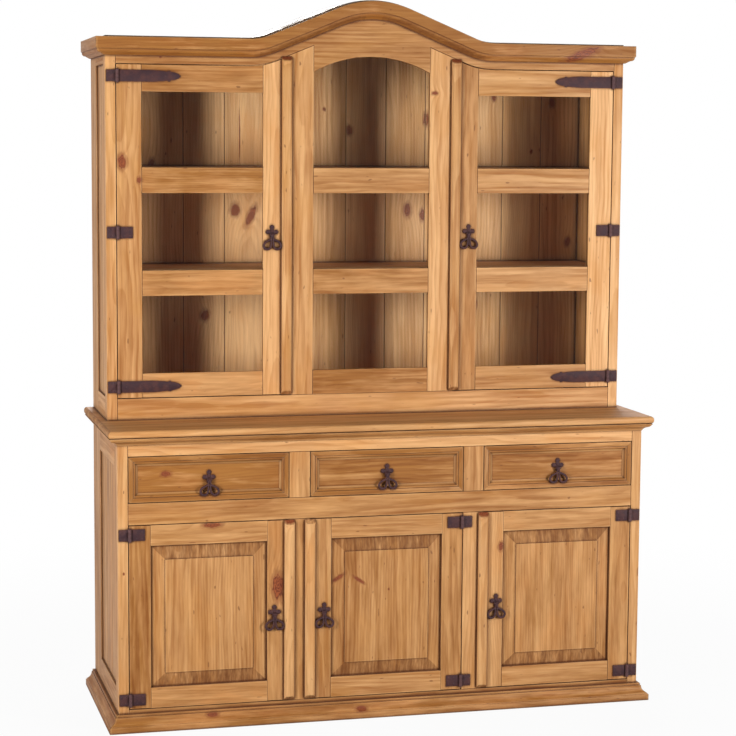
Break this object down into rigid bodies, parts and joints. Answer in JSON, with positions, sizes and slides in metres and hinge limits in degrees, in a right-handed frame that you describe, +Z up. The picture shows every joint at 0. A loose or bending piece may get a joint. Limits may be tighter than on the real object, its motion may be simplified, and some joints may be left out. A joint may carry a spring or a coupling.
{
  "type": "trastero cabinet",
  "caption": "Rustic pine dresser: a glazed hutch with an arched cornice stands on a base of panelled doors and drawers, with iron hinges and drop pulls.",
  "frame": {"origin": "on the floor, under the middle of the overall box", "axes": "+X to the viewer's right along the front, +Y from the front to the back, +Z up"},
  "size_m": [1.66, 0.575, 2.1223],
  "materials": {
    "pine": "waxed",
    "iron": "matte, hand-forged look",
    "glass": "clear"
  },
  "bodies": {
    "carcass": {"plinth_moulding": "pine", "base_face_frame": "pine", "base_left_side": "pine", "base_right_side": "pine", "base_shelves": "pine", "base_back_planks": "pine", "drawer_runners": "pine", "counter_top": "pine", "hutch_face_frame": "pine", "hutch_left_side": "pine", "hutch_right_side": "pine", "hutch_shelves": "pine", "hutch_back_planks": "pine", "hutch_roof": "pine", "cornice_moulding": "pine", "centre_window": "pine", "centre_glass": "glass", "frame_hinge_leaves": "iron"},
    "left_drawer": {"left_drawer_front": "pine", "left_drawer_box": "pine", "left_drawer_pull_plate": "iron"},
    "left_drawer_pull": {"left_drawer_pull_drop": "iron"},
    "centre_drawer": {"centre_drawer_front": "pine", "centre_drawer_box": "pine", "centre_drawer_pull_plate": "iron"},
    "centre_drawer_pull": {"centre_drawer_pull_drop": "iron"},
    "right_drawer": {"right_drawer_front": "pine", "right_drawer_box": "pine", "right_drawer_pull_plate": "iron"},
    "right_drawer_pull": {"right_drawer_pull_drop": "iron"},
    "base_left_door": {"base_left_door_frame": "pine", "base_left_door_panel": "pine", "base_left_door_astragal": "pine", "base_left_door_hinge_leaves": "iron", "base_left_door_pull_plate": "iron"},
    "base_left_door_pull": {"base_left_door_pull_drop": "iron"},
    "base_centre_door": {"base_centre_door_frame": "pine", "base_centre_door_panel": "pine", "base_centre_door_astragal": "pine", "base_centre_door_hinge_leaves": "iron", "base_centre_door_pull_plate": "iron"},
    "base_centre_door_pull": {"base_centre_door_pull_drop": "iron"},
    "base_right_door": {"base_right_door_frame": "pine", "base_right_door_panel": "pine", "base_right_door_astragal": "pine", "base_right_door_hinge_leaves": "iron", "base_right_door_pull_plate": "iron"},
    "base_right_door_pull": {"base_right_door_pull_drop": "iron"},
    "hutch_left_door": {"hutch_left_door_frame": "pine", "hutch_left_door_glass": "glass", "hutch_left_door_astragal": "pine", "hutch_left_door_hinge_leaves": "iron", "hutch_left_door_pull_plate": "iron"},
    "hutch_left_door_pull": {"hutch_left_door_pull_drop": "iron"},
    "hutch_right_door": {"hutch_right_door_frame": "pine", "hutch_right_door_glass": "glass", "hutch_right_door_astragal": "pine", "hutch_right_door_hinge_leaves": "iron", "hutch_right_door_pull_plate": "iron"},
    "hutch_right_door_pull": {"hutch_right_door_pull_drop": "iron"}
  },
  "joints": [
    {"name": "left_drawer_slide", "type": "slide", "parent": "carcass", "child": "left_drawer", "axis": [0, -1, 0], "range_m": [0, 0.36]},
    {"name": "left_drawer_pull_swing", "type": "hinge", "parent": "left_drawer", "child": "left_drawer_pull", "pos_m": [-0.5335, -0.2608, 0.729], "axis": [-1, 0, 0], "range_deg": [0, 80]},
    {"name": "centre_drawer_slide", "type": "slide", "parent": "carcass", "child": "centre_drawer", "axis": [0, -1, 0], "range_m": [0, 0.36]},
    {"name": "centre_drawer_pull_swing", "type": "hinge", "parent": "centre_drawer", "child": "centre_drawer_pull", "pos_m": [0, -0.2608, 0.729], "axis": [-1, 0, 0], "range_deg": [0, 80]},
    {"name": "right_drawer_slide", "type": "slide", "parent": "carcass", "child": "right_drawer", "axis": [0, -1, 0], "range_m": [0, 0.36]},
    {"name": "right_drawer_pull_swing", "type": "hinge", "parent": "right_drawer", "child": "right_drawer_pull", "pos_m": [0.5335, -0.2608, 0.729], "axis": [-1, 0, 0], "range_deg": [0, 80]},
    {"name": "base_left_door_hinge", "type": "hinge", "parent": "carcass", "child": "base_left_door", "pos_m": [-0.766, -0.2628, 0.333], "axis": [0, 0, -1], "range_deg": [0, 180]},
    {"name": "base_left_door_pull_swing", "type": "hinge", "parent": "base_left_door", "child": "base_left_door_pull", "pos_m": [-0.341, -0.2646, 0.323], "axis": [-1, 0, 0], "range_deg": [0, 80]},
    {"name": "base_centre_door_hinge", "type": "hinge", "parent": "carcass", "child": "base_centre_door", "pos_m": [0.231, -0.2628, 0.333], "axis": [0, 0, 1], "range_deg": [0, 110]},
    {"name": "base_centre_door_pull_swing", "type": "hinge", "parent": "base_centre_door", "child": "base_centre_door_pull", "pos_m": [-0.191, -0.2646, 0.323], "axis": [-1, 0, 0], "range_deg": [0, 80]},
    {"name": "base_right_door_hinge", "type": "hinge", "parent": "carcass", "child": "base_right_door", "pos_m": [0.766, -0.2628, 0.333], "axis": [0, 0, 1], "range_deg": [0, 180]},
    {"name": "base_right_door_pull_swing", "type": "hinge", "parent": "base_right_door", "child": "base_right_door_pull", "pos_m": [0.341, -0.2646, 0.323], "axis": [-1, 0, 0], "range_deg": [0, 80]},
    {"name": "hutch_left_door_hinge", "type": "hinge", "parent": "carcass", "child": "hutch_left_door", "pos_m": [-0.766, -0.0528, 1.434], "axis": [0, 0, -1], "range_deg": [0, 180]},
    {"name": "hutch_left_door_pull_swing", "type": "hinge", "parent": "hutch_left_door", "child": "hutch_left_door_pull", "pos_m": [-0.306, -0.0546, 1.427], "axis": [-1, 0, 0], "range_deg": [0, 80]},
    {"name": "hutch_right_door_hinge", "type": "hinge", "parent": "carcass", "child": "hutch_right_door", "pos_m": [0.766, -0.0528, 1.434], "axis": [0, 0, 1], "range_deg": [0, 180]},
    {"name": "hutch_right_door_pull_swing", "type": "hinge", "parent": "hutch_right_door", "child": "hutch_right_door_pull", "pos_m": [0.306, -0.0546, 1.427], "axis": [-1, 0, 0], "range_deg": [0, 80]}
  ]
}
